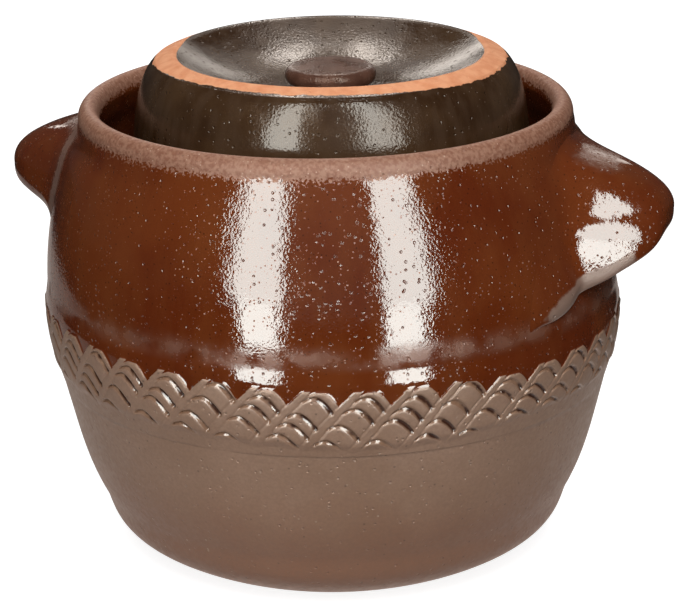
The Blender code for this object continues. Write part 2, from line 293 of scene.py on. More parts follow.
def smooth_step(low, high, value):
    """Share from 0 to 1 of a value between two limits, with soft ends."""
    share = np.clip((value - low) / (high - low), 0.0, 1.0)
    return share * share * (3.0 - 2.0 * share)


def smooth_curve(points, steps):
    """Places and values on a smooth curve through (place, value) points, steps to each stretch."""
    places, values = np.array(points).T
    widths = np.diff(places)
    grades = np.diff(values) / widths
    slopes = np.empty(len(places))
    slopes[1:-1] = (grades[:-1] * widths[1:] + grades[1:] * widths[:-1]) / (widths[:-1] + widths[1:])
    slopes[0] = 2.0 * grades[0] - slopes[1]
    slopes[-1] = 2.0 * grades[-1] - slopes[-2]
    t = np.linspace(0.0, 1.0, steps, endpoint=False)
    curve_places = [places[i] + t * width for i, width in enumerate(widths)]
    curve_values = [
        (2 * t**3 - 3 * t**2 + 1) * values[i]
        + (t**3 - 2 * t**2 + t) * width * slopes[i]
        + (3 * t**2 - 2 * t**3) * values[i + 1]
        + (t**3 - t**2) * width * slopes[i + 1]
        for i, width in enumerate(widths)
    ]
    return np.concatenate([*curve_places, places[-1:]]), np.concatenate([*curve_values, values[-1:]])


OUTLINE_HEIGHTS, OUTLINE_RADII = smooth_curve(OUTLINE, OUTLINE_STEPS)


def outer_radius(height):
    """Outside of the turned wall at a height, without the belt."""
    return np.interp(height, OUTLINE_HEIGHTS, OUTLINE_RADII)


def inner_radius(height):
    """Inside of the turned wall at a height."""
    return outer_radius(height) - np.interp(height, [LEDGE_TOP, NECK_HEIGHT], [WALL, NECK_WALL])


def arc(centre, width, height, start, end, steps):
    """Points on an ellipse from one angle to another, in degrees from the outward side."""
    angles = np.radians(np.linspace(start, end, steps + 1))
    return [(centre[0] + width * math.cos(a), centre[1] + height * math.sin(a)) for a in angles]


def bezier(first, first_pull, last_pull, last, steps):
    """Points on a cubic curve between two points."""
    t = np.linspace(0.0, 1.0, steps + 1)[:, None]
    corners = np.array((first, first_pull, last_pull, last))
    curve = (1 - t) ** 3 * corners[0] + 3 * t * (1 - t) ** 2 * corners[1]
    curve += 3 * t * t * (1 - t) * corners[2] + t**3 * corners[3]
    return [tuple(point) for point in curve]


def soft_edge(radius, height, corners, steps):
    """A rounded edge from four steps out and up that lead round a sharp corner."""
    return bezier(*[(radius + out, height + up) for out, up in corners], steps)


def ring_faces(first, second):
    """Faces between two rings of point numbers, of which one may have a multiple of the other's."""
    if len(first) > len(second):
        return [face[::-1] for face in ring_faces(second, first)]
    step = len(second) // len(first)
    faces = []
    for i in range(len(first)):
        j = (i + 1) % len(first)
        across = [second[(i * step + k) % len(second)] for k in range(step + 1)]
        faces.append([first[j], first[i]] + across)
    return faces


def pole_faces(pole, around):
    """Triangles between one point and a ring of point numbers."""
    return [[pole, around[i], around[(i + 1) % len(around)]] for i in range(len(around))]


def turned_mesh(name, rings, closed=False):
    """Skin rings of points, each an array of x, y, z rows. Closed joins the last to the first."""
    starts = np.cumsum([0] + [len(points) for points in rings])
    numbers = [list(range(a, b)) for a, b in zip(starts, starts[1:])]
    following = numbers[1:] + numbers[:1] if closed else numbers[1:]
    faces = []
    for first, second in zip(numbers, following):
        if len(first) == 1:
            faces += pole_faces(first[0], second)
        elif len(second) == 1:
            faces += [face[::-1] for face in pole_faces(second[0], first)]
        else:
            faces += ring_faces(first, second)
    mesh = bpy.data.meshes.new(name)
    mesh.from_pydata(np.concatenate(rings).tolist(), [], faces)
    mesh.shade_smooth()
    mesh.set_sharp_from_angle(angle=SHARP_ANGLE)
    return mesh


def ring(radius, height, columns):
    """A level ring of points. Radius and height may be one value each or one for each column."""
    angles = np.arange(columns) * (math.tau / columns)
    points = np.empty((columns, 3))
    points[:, 0] = radius * np.cos(angles)
    points[:, 1] = radius * np.sin(angles)
    points[:, 2] = height
    return points


def rings_of(profile, columns):
    """Rings for a profile of (radius, height) pairs. A radius of 0 is a single point."""
    return [ring(r, z, columns if r > 0.0 else 1) for r, z in profile]


def add_attribute(mesh, name, values):
    """Give every point of a mesh a number that its material reads."""
    attribute = mesh.attributes.new(name, "FLOAT", "POINT")
    attribute.data.foreach_set("value", np.asarray(values, dtype=np.float32))


def add_piece(name, mesh, body, nodes, material):
    """Put a mesh into the scene in place of CAD nodes, riding on a body."""
    piece = bpy.data.objects.new(name, mesh)
    bpy.context.scene.collection.objects.link(piece)
    mesh.materials.append(material)
    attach(piece, body)
    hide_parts(*nodes)


def azimuths(columns):
    """Azimuth of every column, in degrees from -180 to 180."""
    angles = np.degrees(np.arange(columns) * (math.tau / columns)) + 90.0 - math.degrees(CAMERA_TURN)
    return (angles + 180.0) % 360.0 - 180.0


def belt_edges(azimuth):
    """Heights of the belt's lower and upper edge."""
    lower = np.interp(azimuth, *zip(*BELT_LOWER_EDGE))
    return lower * MM, (lower + np.interp(azimuth, *zip(*BELT_TALLNESS))) * MM


def groove_stack(column, share, level):
    """Share of groove between two bars: crisp at the upper side of every groove, soft at the lower."""
    groove = np.zeros_like(share)
    for i, groove_level in enumerate(GROOVE_LEVELS):
        jitter = GROOVE_JITTER * np.sin(column * 2.4 + 1.7 * i)
        jitter += 0.5 * GROOVE_JITTER * np.sin(column * 5.1 + i)
        below = (groove_level + jitter - level) / GROOVE_WIDTH
        steepness = np.where(below > 0.0, GROOVE_STEEP_BELOW, GROOVE_STEEP_ABOVE)
        groove = np.maximum(groove, np.exp(-steepness * below**2))
    between = smooth_step(0.07, 0.14, share) * smooth_step(0.97, 0.88, share)
    return groove * between


def belt_relief(azimuth, height):
    """The belt at a height round the pot: its stand, and the shares of satin, groove, and pooled glaze
    with painted shade.
    """
    lower, upper = belt_edges(azimuth)
    rise = (height - lower) * BELT_HEIGHT / (upper - lower)
    pitch = math.tau * BELT_RADIUS / BELT_REPEATS
    along = np.radians(azimuth) * BELT_RADIUS
    shift = BAR_LEAN * rise + BAR_SWEEP * (rise / BELT_HEIGHT) ** 2
    column, share = np.divmod((along - shift - BAR_PHASE) / pitch, 1.0)
    side = ((share + 0.5) % 1.0 - 0.5) * pitch * math.cos(math.atan(BAR_LEAN))
    bar = np.exp(-((side / BAR_WIDTH) ** 4))
    dent = np.exp(-(((np.abs(side) - DENT_PLACE) / DENT_WIDTH) ** 2))
    pad = np.sin(math.pi * np.clip((share - 0.05) / 0.9, 0.0, 1.0)) ** 0.5
    climb = (GROOVE_CREST - share) / GROOVE_CLIMB
    fall = np.maximum(share - GROOVE_CREST, 0.0) / (1.0 - GROOVE_CREST)
    drop = np.where(
        share < GROOVE_CREST, GROOVE_CLIMB_DROP * climb**2, GROOVE_FALL_DROP * fall**GROOVE_FALL_BEND
    )
    groove = groove_stack(column, share, rise + np.clip(drop, 0.0, GROOVE_LOWEST_DROP))
    top = np.minimum(BELT_HEIGHT - PAD_END_DROP, BELT_HEIGHT - drop)
    top = np.where(np.abs(side) < BAR_END_WIDTH, BELT_HEIGHT - BAR_END_DROP, top)
    bottom = SCALLOP * np.abs(np.sin(math.pi * share))
    inside = smooth_step(-0.0009, 0.0009, top - rise) * smooth_step(-0.0030, 0.0010, rise - bottom)
    flare = BELT_FLARE * smooth_step(upper + BELT_FLARE_RISE, upper - 0.0010, height)
    flare *= smooth_step(lower - 0.0120, lower + 0.0040, height)
    pattern = BELT_PROUD - BELT_FLARE - PAD_RISE + PAD_RISE * pad
    pattern = pattern + BAR_RISE * bar - DENT_DEPTH * dent - GROOVE_DEPTH * groove
    satin = smooth_step(-0.0005, 0.0003, top - rise)
    # The last share is pooled glaze together with painted shade, on the falling stretch of each groove.
    falling = smooth_step(GROOVE_CREST - 0.05, GROOVE_CREST + 0.15, share)
    return flare + inside * pattern, satin, groove * inside, groove * inside * falling


def settle(points):
    """Move points with the clay: lean, draw in and flatten them."""
    height = points[:, 2]
    right = np.array(horizontal(90.0)[:2])
    side = np.clip(points[:, :2] @ right / SIDE_REACH, -1.0, 1.0)
    lean = NECK_LEAN * np.clip((height - LEAN_START) / (RIM_HEIGHT - LEAN_START), 0.0, 1.0)
    groove = NECK_GROOVE * side**3
    groove *= np.exp(-(((height - NECK_GROOVE_HEIGHT) / NECK_GROOVE_SPREAD) ** 2))
    flat = FLAT_DEPTH * np.clip(side, 0.0, 1.0) ** 4
    flat *= np.exp(-(((height - FLAT_HEIGHT) / FLAT_SPREAD) ** 2))
    points[:, :2] += (lean - groove - flat)[:, None] * right


def upper_profile():
    """The pot from the middle of its floor up the inside, over the lip and down to the belt."""
    ledge_radius = inner_radius(LEDGE_TOP) - LEDGE_WIDTH
    ledge_root = LEDGE_TOP - LEDGE_EDGE - LEDGE_UNDERCUT
    fillet_top = FLOOR + FLOOR_FILLET
    fillet_centre = (inner_radius(fillet_top) - FLOOR_FILLET, fillet_top)
    lip_centre = (LIP_RADIUS, NECK_HEIGHT)
    profile = [(0.0, FLOOR)]
    profile += [(r, FLOOR) for r in np.linspace(0.01, 0.07, 7)]
    profile += arc(fillet_centre, FLOOR_FILLET, FLOOR_FILLET, -90, 0, 12)
    profile += [(inner_radius(z), z) for z in np.linspace(fillet_top, ledge_root, 49)[1:]]
    profile += bezier(
        (inner_radius(ledge_root), ledge_root),
        (inner_radius(ledge_root) - 0.002, ledge_root + 0.006),
        (ledge_radius, LEDGE_TOP - LEDGE_EDGE - 0.004),
        (ledge_radius, LEDGE_TOP - LEDGE_EDGE),
        8,
    )[1:]
    profile += [(ledge_radius, LEDGE_TOP), (inner_radius(LEDGE_TOP), LEDGE_TOP)]
    profile += [(inner_radius(z), z) for z in np.linspace(LEDGE_TOP, NECK_HEIGHT, 17)[1:]]
    profile += arc(lip_centre, LIP_RADIUS - inner_radius(NECK_HEIGHT), LIP_RISE, 180, 90, 14)[1:]
    profile += arc(lip_centre, outer_radius(NECK_HEIGHT) - LIP_RADIUS, LIP_RISE, 90, 0, 14)[1:]
    profile += [(outer_radius(z), z) for z in np.linspace(NECK_HEIGHT, BELT_FIRST_ROW, 45)[1:]]
    return profile


def lower_profile():
    """The pot from the belt down to the foot and in to the middle."""
    heights = BELT_LAST_ROW * np.linspace(1.0, 0.0, 61) ** 1.5
    foot_radius = outer_radius(0.0)
    profile = [(outer_radius(z), z) for z in heights if z > FOOT_EDGE]
    profile += bezier(
        (outer_radius(FOOT_EDGE), FOOT_EDGE),
        (outer_radius(0.3 * FOOT_EDGE), 0.3 * FOOT_EDGE),
        (foot_radius, 0.0),
        (foot_radius - FOOT_EDGE, 0.0),
        5,
    )
    profile += [(r, 0.0) for r in np.linspace(foot_radius - 0.004, 0.0, 9)]
    return profile


def body_mesh():
    """The pot: a coarse upper and lower part, and between them fine rows that carry the belt."""
    azimuth = azimuths(FINE_COLUMNS)
    heights = np.arange(BELT_FIRST_ROW - BELT_ROW, BELT_LAST_ROW, -BELT_ROW)
    proud, satin, groove, pool_and_shade = zip(*[belt_relief(azimuth, z) for z in heights])
    upper = rings_of(upper_profile(), COARSE_COLUMNS)
    belt = [ring(outer_radius(z) + stand, z, FINE_COLUMNS) for z, stand in zip(heights, proud)]
    lower = rings_of(lower_profile(), COARSE_COLUMNS)
    rings = upper + belt + lower
    for points in rings:
        settle(points)
    mesh = turned_mesh("pot", rings)
    above = np.zeros(sum(len(points) for points in upper))
    below = np.zeros(sum(len(points) for points in lower))
    add_attribute(mesh, "satin", np.concatenate([above, *satin, below + 1.0]))
    add_attribute(mesh, "groove", np.concatenate([above, *groove, below]))
    # Pooled glaze with painted shade in the belt's grooves, for the material.
    add_attribute(mesh, "pool_and_shade", np.concatenate([above, *pool_and_shade, below]))
    return mesh


def collar_mesh():
    """The channel's floor and its inner wall, whose inside is the crock's mouth."""
    base = LEDGE_TOP + GAP
    half_wall = COLLAR_WALL / 2.0
    collar_radius = MOUTH_RADIUS + COLLAR_WALL
    rim_centre = (MOUTH_RADIUS + half_wall, CHANNEL_FLOOR + COLLAR_HEIGHT - half_wall)
    inner_foot = (MOUTH_RADIUS + COLLAR_FILLET, base + COLLAR_FILLET)
    outer_foot = (collar_radius + COLLAR_FILLET, CHANNEL_FLOOR + COLLAR_FILLET)
    profile = arc(rim_centre, half_wall, half_wall, 180, 0, 20)
    profile += [(collar_radius, z) for z in np.linspace(CHANNEL_FLOOR + 0.018, CHANNEL_FLOOR + 0.006, 5)]
    profile += arc(outer_foot, COLLAR_FILLET, COLLAR_FILLET, 180, 270, 8)
    profile += [(r, CHANNEL_FLOOR) for r in np.linspace(0.082, inner_radius(CHANNEL_FLOOR) - GAP, 7)]
    profile.append((inner_radius(base) - GAP, base))
    profile += arc(inner_foot, COLLAR_FILLET, COLLAR_FILLET, 270, 180, 8)
    return turned_mesh("channel_collar", rings_of(profile, COARSE_COLUMNS), closed=True)


def dish_height(radius):
    """Surface of the dish at a radius: flat round the knob, then rising to the crest."""
    share = max(0.0, radius - KNOB_FOOT_RADIUS) / (CREST_RADIUS - KNOB_FOOT_RADIUS)
    return DISH_HEIGHT + DISH_DEPTH * share**2


def lid_mesh():
    """The bell: dish with its knob socket, bare ring, bevel, skirt, and the hollow below."""
    socket_radius = KNOB_FOOT_RADIUS + GAP
    socket_height = DISH_HEIGHT - KNOB_SOCKET
    ring_height = LID_TOP - RING_DROP
    profile = [(0.0, socket_height), (socket_radius, socket_height)]
    profile += [(r, dish_height(r)) for r in np.linspace(socket_radius, CREST_RADIUS - 0.0006, 40)]
    profile += soft_edge(CREST_RADIUS, LID_TOP, CREST_EDGE, 6)
    profile.append((CREST_RADIUS + 0.0045, LID_TOP - 0.0014))
    height = ring_height - LID_BASE
    skirt = bezier(
        (RING_RADIUS, ring_height),
        (RING_RADIUS + 0.56 * SKIRT_TAPER, LID_BASE + height * 0.91),
        (SKIRT_RADIUS + 0.06 * SKIRT_TAPER, LID_BASE + height * 0.65),
        (SKIRT_RADIUS, LID_BASE + 0.001),
        48,
    )
    profile += soft_edge(RING_RADIUS, ring_height, RING_EDGE, 8)
    profile += [(r, z) for r, z in skirt if z < ring_height - 0.0012]
    profile += [(SKIRT_RADIUS - 0.0010, LID_BASE), (SKIRT_RADIUS - LID_WALL + 0.001, LID_BASE)]
    under_corner = ring_height - LID_CEILING
    profile += [(r - LID_WALL, z) for r, z in reversed(skirt) if z < under_corner]
    ceiling_radii = np.linspace(CREST_RADIUS, KNOB_FOOT_RADIUS, 20)
    profile += [(r, dish_height(r) - LID_CEILING) for r in ceiling_radii]
    profile.append((0.0, DISH_HEIGHT - LID_CEILING))
    rings = rings_of(profile, LID_COLUMNS)
    for points in rings:
        arch = np.sqrt(np.clip(NOTCH_RADIUS**2 - points[:, 0] ** 2, 0.0, None))
        near = smooth_step(LID_BASE + NOTCH_REACH, LID_BASE, points[:, 2])
        in_skirt = np.hypot(points[:, 0], points[:, 1]) > CREST_RADIUS
        points[:, 2] += arch * near * in_skirt
    return turned_mesh("bell_lid", rings)


def knob_mesh():
    """The button: slightly domed top, rounded edge, and a foot narrower than the button."""
    top = DISH_HEIGHT + KNOB_HEIGHT
    edge_height = top - KNOB_DOME - KNOB_EDGE
    seat = DISH_HEIGHT - KNOB_SOCKET + GAP
    edge_start = KNOB_RADIUS - KNOB_EDGE
    profile = [(0.0, top)]
    profile += [(r, top - KNOB_DOME * (r / edge_start) ** 2) for r in np.linspace(0.003, edge_start, 7)]
    profile += arc((edge_start, edge_height), KNOB_EDGE, KNOB_EDGE, 90, 0, 12)[1:]
    profile += bezier(
        (KNOB_RADIUS, edge_height),
        (KNOB_RADIUS, DISH_HEIGHT + KNOB_SOCKET),
        (KNOB_FOOT_RADIUS, DISH_HEIGHT + KNOB_SOCKET),
        (KNOB_FOOT_RADIUS, DISH_HEIGHT),
        12,
    )[1:]
    profile += [(KNOB_FOOT_RADIUS, seat), (0.0, seat)]
    return turned_mesh("button_knob", rings_of(profile, KNOB_COLUMNS))


CREST_SHARES, CREST_RISES = smooth_curve(EAR_CREST, EAR_CURVE_STEPS)
FACE_HEIGHTS, FACE_DISTANCES = smooth_curve(EAR_FACE, EAR_CURVE_STEPS)
LIP_CURVES = [smooth_curve([(row[0], row[k]) for row in EAR_LIP], EAR_CURVE_STEPS) for k in (1, 2, 3)]


def ear_out(angle, height):
    """How far an ear stands out from the wall: its crest, cut off on the long side by the flank."""
    crest = EAR_REACH * np.interp((EAR_ROOT - height) / EAR_FALL, CREST_SHARES, CREST_RISES)
    crest *= math.exp(-0.5 * (max(angle, 0.0) / EAR_SHORT_SPREAD) ** 2)
    facing = math.cos(math.radians(min(angle, 0.0) - EAR_FACE_ANGLE))
    flank = np.interp(height, FACE_HEIGHTS, FACE_DISTANCES) / facing - outer_radius(height)
    cut = 0.5 * (crest + flank - np.hypot(crest - flank, EAR_ROUNDING))
    long_fillet = np.interp(height, EAR_FILLET_HEIGHTS, EAR_LONG_FILLETS)
    long_side = 0.5 * (cut + np.hypot(cut, long_fillet))
    short_side = 0.5 * (cut + np.hypot(cut, EAR_SHORT_FILLET))
    short_side -= 0.5 * EAR_SHORT_FILLET * np.exp(-np.maximum(cut, 0.0) / EAR_SHORT_FILLET)
    return long_side + smooth_step(0.0, EAR_BLEND_ANGLE, angle) * (short_side - long_side)


def ear_slice(angle):
    """One upright slice of an ear at an angle from its middle: a closed loop of (radius, height)."""
    lip, thickness, ridge = (float(np.interp(angle, *curve)) * MM for curve in LIP_CURVES)
    nose_height = lip + 0.85 * thickness
    shares = np.linspace(0.0, 1.0, EAR_TOP_STEPS)
    top = EAR_ROOT + shares * (nose_height - EAR_ROOT)
    stand = ridge * shares**3
    out = (ear_out(angle, top) ** 4 + stand**4) ** 0.25 - EAR_SINK
    swell = min(1.0, max(0.0, out[-1] / EAR_REACH))
    loop = list(zip(outer_radius(top) + out, top))
    nose = loop[-1]
    low = (nose[0] - 0.42 * thickness, lip)
    loop += bezier(
        nose,
        (nose[0] + 0.02 * thickness, nose[1] - 0.45 * thickness),
        (low[0] + 0.35 * thickness, lip),
        low,
        EAR_NOSE_STEPS,
    )[1:]
    under_height = lip + EAR_HOLLOW * swell
    under = (float(outer_radius(under_height)) - EAR_SINK, under_height)
    span = low[0] - under[0]
    loop += bezier(
        low,
        (low[0] - 0.15 * span, lip + 0.65 * EAR_HOLLOW * swell),
        (under[0] + 0.40 * span, under_height + 0.10 * EAR_HOLLOW * swell),
        under,
        EAR_UNDER_STEPS,
    )[1:]
    back_heights = np.linspace(under_height, EAR_ROOT, 9)[1:-1]
    loop += [(outer_radius(z) - 4.0 * EAR_SINK, z) for z in back_heights]
    return loop


def worn_top(angle, out, height):
    """Where the right ear's glaze is thin: a patch on top of its middle."""
    patch = smooth_step(0.171, 0.178, height) * smooth_step(0.001, 0.006, out)
    patch *= smooth_step(0.026, 0.014, out)
    patch *= smooth_step(-12.0, -5.0, angle) * smooth_step(16.0, 4.0, angle)
    return 0.6 * patch


def worn_root(angle, out, height):
    """Where the left ear's glaze is thin: over its root, and along its crease on the short side."""
    crease = smooth_step(0.0040, 0.0008, out) * smooth_step(2.0, 8.0, angle)
    root = smooth_step(0.176, 0.184, height) * smooth_step(0.016, 0.010, out)
    return max(crease, root)


def worn_lip(angle, out, row):
    """Where the glaze is thin on an ear's lip: round the nose on the long side, short of the tip."""
    nose_end = EAR_TOP_STEPS + EAR_NOSE_STEPS
    lip = smooth_step(1.0, -9.0, angle) * smooth_step(0.0002, 0.0020, out)
    lip *= smooth_step(0.026, 0.017, out)
    lip *= smooth_step(EAR_TOP_STEPS - 5.0, EAR_TOP_STEPS - 1.0, row)
    return lip * smooth_step(nose_end + 3.0, nose_end - 2.0, row)


def ear_mesh(name, turn, worn, lift=0.0, trim=1.0):
    """An ear as slices round the pot, skinned between neighbours and capped at both ends.

    It stands at a turn round the axis, with its tip lifted and its reach trimmed. The function
    worn says where its upper side is worn.
    """
    slices = []
    crease = []
    lip = []
    for angle in np.linspace(-EAR_LONG_SIDE, EAR_SHORT_SIDE, EAR_SLICES):
        around = math.radians(angle) + turn
        loop = ear_slice(angle)
        for row, (r, z) in enumerate(loop):
            wall = float(outer_radius(z))
            out = r - wall
            radius = wall + out * (trim if out > 0.0 else 1.0)
            share = min(1.0, max(0.0, out / EAR_REACH))
            slices.append((radius * math.cos(around), radius * math.sin(around), z + lift * share))
            crease.append(worn(angle, out, z))
            lip.append(worn_lip(angle, out, row))
    points = np.array(slices)
    settle(points)
    count = len(loop)
    faces = []
    for first in range(0, len(points) - count, count):
        for k in range(count):
            j = (k + 1) % count
            faces.append((first + k, first + j, first + count + j, first + count + k))
    faces.append(list(range(count - 1, -1, -1)))
    faces.append(list(range(len(points) - count, len(points))))
    mesh = bpy.data.meshes.new(name)
    mesh.from_pydata(points.tolist(), [], faces)
    mesh.shade_smooth()
    add_attribute(mesh, "lip", lip)
    add_attribute(mesh, "crease", crease)
    return mesh


class Paint:
    """A material in the making: short calls for its nodes."""

    def __init__(self, name):
        self.material = bpy.data.materials.new(name)
        self.material.use_nodes = True
        self.tree = self.material.node_tree
        self.shader = self.tree.nodes["Principled BSDF"]
        self.place = self.add("ShaderNodeTexCoord").outputs["Object"]

    def add(self, kind, **settings):
        """A node with its settings."""
        node = self.tree.nodes.new(kind)
        for key, value in settings.items():
            setattr(node, key, value)
        return node

    def feed(self, socket, value):
        """Link a value that comes from a node, or write a plain one on the socket."""
        if isinstance(value, bpy.types.NodeSocket):
            self.tree.links.new(value, socket)
        elif isinstance(value, tuple) and len(socket.default_value) == 4:
            socket.default_value = (*value, 1.0)
        else:
            socket.default_value = value

    def math(self, operation, first, second=0.0):
        """A calculation with one or two numbers."""
        node = self.add("ShaderNodeMath", operation=operation)
        self.feed(node.inputs[0], first)
        self.feed(node.inputs[1], second)
        return node.outputs[0]

    def times(self, first, second):
        """A product."""
        return self.math("MULTIPLY", first, second)

    def plus(self, first, second):
        """A sum."""
        return self.math("ADD", first, second)

    def swing(self, share, width):
        """A share turned into a number up to half the width to either side of zero."""
        return self.times(self.math("SUBTRACT", share, 0.5), width)

    def stretched(self, scale):
        """Object coordinates, stretched along the axes."""
        node = self.add("ShaderNodeMapping")
        self.feed(node.inputs["Vector"], self.place)
        node.inputs["Scale"].default_value = scale
        return node.outputs[0]

    def noise(self, scale, detail=2.0, stretch=(1.0, 1.0, 1.0)):
        """Soft noise from 0 to 1, scale counted in waves to the metre."""
        node = self.add("ShaderNodeTexNoise")
        self.feed(node.inputs["Vector"], self.stretched(stretch))
        node.inputs["Scale"].default_value = scale
        node.inputs["Detail"].default_value = detail
        return node.outputs[0]

    def dots(self, scale, size, amount):
        """Small round spots, 1 inside: size and amount are shares of the cells."""
        node = self.add("ShaderNodeTexVoronoi")
        self.feed(node.inputs["Vector"], self.place)
        node.inputs["Scale"].default_value = scale
        picked = self.add("ShaderNodeSeparateColor")
        self.feed(picked.inputs[0], node.outputs["Color"])
        near = self.span(node.outputs["Distance"], size, size * 0.4)
        chosen = self.span(picked.outputs[0], 1.0 - amount, 1.0 - amount + 0.02)
        return self.times(near, chosen)

    def span(self, value, low, high, start=0.0, end=1.0):
        """Share of a value between two limits, or that share mapped on two others."""
        node = self.add("ShaderNodeMapRange", interpolation_type="SMOOTHSTEP")
        flipped = low > high
        limits = (high, low, end, start) if flipped else (low, high, start, end)
        self.feed(node.inputs["Value"], value)
        for socket, limit in zip(node.inputs[1:5], limits):
            socket.default_value = limit
        return node.outputs[0]

    def mix(self, share, first, second):
        """A colour between two."""
        node = self.add("ShaderNodeMix", data_type="RGBA")
        self.feed(node.inputs[0], share)
        self.feed(node.inputs[6], first)
        self.feed(node.inputs[7], second)
        return node.outputs[2]

    def lay(self, colour, share, strength, over):
        """A colour with another laid over it where a share says, at most as strong as given."""
        return self.mix(self.times(share, strength), colour, over)

    def shade(self, share, first, second):
        """A shader between two."""
        node = self.add("ShaderNodeMixShader")
        for socket, value in zip(node.inputs, (share, first, second)):
            self.feed(socket, value)
        return node.outputs[0]

    def blend(self, share, first, second):
        """A number between two."""
        node = self.add("ShaderNodeMix", data_type="FLOAT")
        self.feed(node.inputs[0], share)
        self.feed(node.inputs[2], first)
        self.feed(node.inputs[3], second)
        return node.outputs[0]

    def given(self, name):
        """A number that the mesh carries."""
        return self.add("ShaderNodeAttribute", attribute_name=name).outputs["Fac"]

    def axes(self):
        """The object coordinates one by one."""
        node = self.add("ShaderNodeSeparateXYZ")
        self.feed(node.inputs[0], self.place)
        return node.outputs

    def relief(self, height, distance, under=None):
        """A bump, over another one if given."""
        node = self.add("ShaderNodeBump")
        node.inputs["Distance"].default_value = distance
        self.feed(node.inputs["Height"], height)
        if under is not None:
            self.feed(node.inputs["Normal"], under)
        return node.outputs[0]

    def finish(self, colour, roughness, normal=None):
        """Join the results to the shader."""
        self.feed(self.shader.inputs["Base Color"], colour)
        self.feed(self.shader.inputs["Roughness"], roughness)
        if normal is not None:
            self.feed(self.shader.inputs["Normal"], normal)
        return self.material


def orange_peel(paint, grain=0.00007):
    """The skin of a fired glaze: low waves, clouded fine grain, blisters and pits."""
    waves = paint.relief(paint.noise(100.0, 2.0), 0.00020)
    clouds = paint.span(paint.noise(26.0, 2.0), 0.35, 0.70, 0.6, 1.7)
    clouds = paint.times(clouds, paint.span(paint.axes()[2], 0.116, 0.142, 0.3, 1.0))
    fine = paint.relief(paint.times(paint.noise(1000.0, 1.0), clouds), grain, under=waves)
    blisters = paint.relief(paint.dots(520.0, 0.22, 0.03), 0.00006, under=fine)
    pits = paint.math("SUBTRACT", 1.0, paint.dots(430.0, 0.31, 0.25))
    return paint.relief(pits, 0.00020, under=blisters)


def glossy_dullness(paint):
    """Roughness of the glossy glaze: smooth, with fine grains and holes that scatter the light."""
    smooth = paint.span(paint.noise(60.0, 3.0), 0.3, 0.7, 0.03, 0.07)
    clouds = paint.span(paint.noise(40.0, 2.0), 0.38, 0.62, 0.4, 1.0)
    grains = paint.times(paint.dots(1100.0, 0.34, 0.25), clouds)
    holes = paint.times(paint.dots(520.0, 0.28, 0.50), clouds)
    return paint.blend(holes, paint.blend(grains, smooth, 0.35), 0.70)


def glossy_colour(paint):
    """Red-brown glaze, darker and lighter in clouds and runs, with pale and dark specks."""
    clouds = paint.span(paint.noise(22.0, 3.0), 0.35, 0.68)
    runs = paint.span(paint.noise(90.0, 3.0, (1.0, 1.0, 0.22)), 0.38, 0.66)
    colour = paint.mix(clouds, (0.105, 0.018, 0.0040), (0.144, 0.032, 0.0075))
    colour = paint.lay(colour, runs, 0.3, (0.166, 0.047, 0.013))
    colour = paint.lay(colour, paint.dots(520.0, 0.22, 0.14), 0.45, (0.40, 0.19, 0.09))
    return paint.lay(colour, paint.dots(650.0, 0.30, 0.22), 0.6, (0.020, 0.007, 0.003))


def satin_colour(paint):
    """The mauve-brown of the thinly glazed lower part, browner toward the foot, with specks."""
    clouds = paint.span(paint.noise(30.0, 4.0), 0.30, 0.70)
    grain = paint.span(paint.noise(700.0, 2.0), 0.30, 0.70)
    colour = paint.mix(clouds, (0.250, 0.142, 0.086), (0.290, 0.171, 0.110))
    height = paint.plus(paint.axes()[2], paint.times(paint.noise(45.0, 3.0), 0.030))
    colour = paint.mix(paint.span(height, 0.085, 0.035, 0.0, 0.9), colour, (0.215, 0.092, 0.046))
    colour = paint.lay(colour, grain, 0.30, (0.170, 0.090, 0.055))
    colour = paint.lay(colour, paint.dots(300.0, 0.20, 0.10), 0.5, (0.40, 0.30, 0.22))
    return paint.lay(colour, paint.dots(380.0, 0.24, 0.10), 0.6, (0.060, 0.028, 0.016))


def rim_clay(paint):
    """Bare clay of the rim, grained and with pale specks."""
    grain = paint.span(paint.noise(650.0, 3.0), 0.35, 0.65)
    clay = paint.mix(grain, (0.228, 0.095, 0.056), (0.335, 0.174, 0.114))
    return paint.lay(clay, paint.dots(620.0, 0.26, 0.35), 0.6, (0.62, 0.44, 0.34))


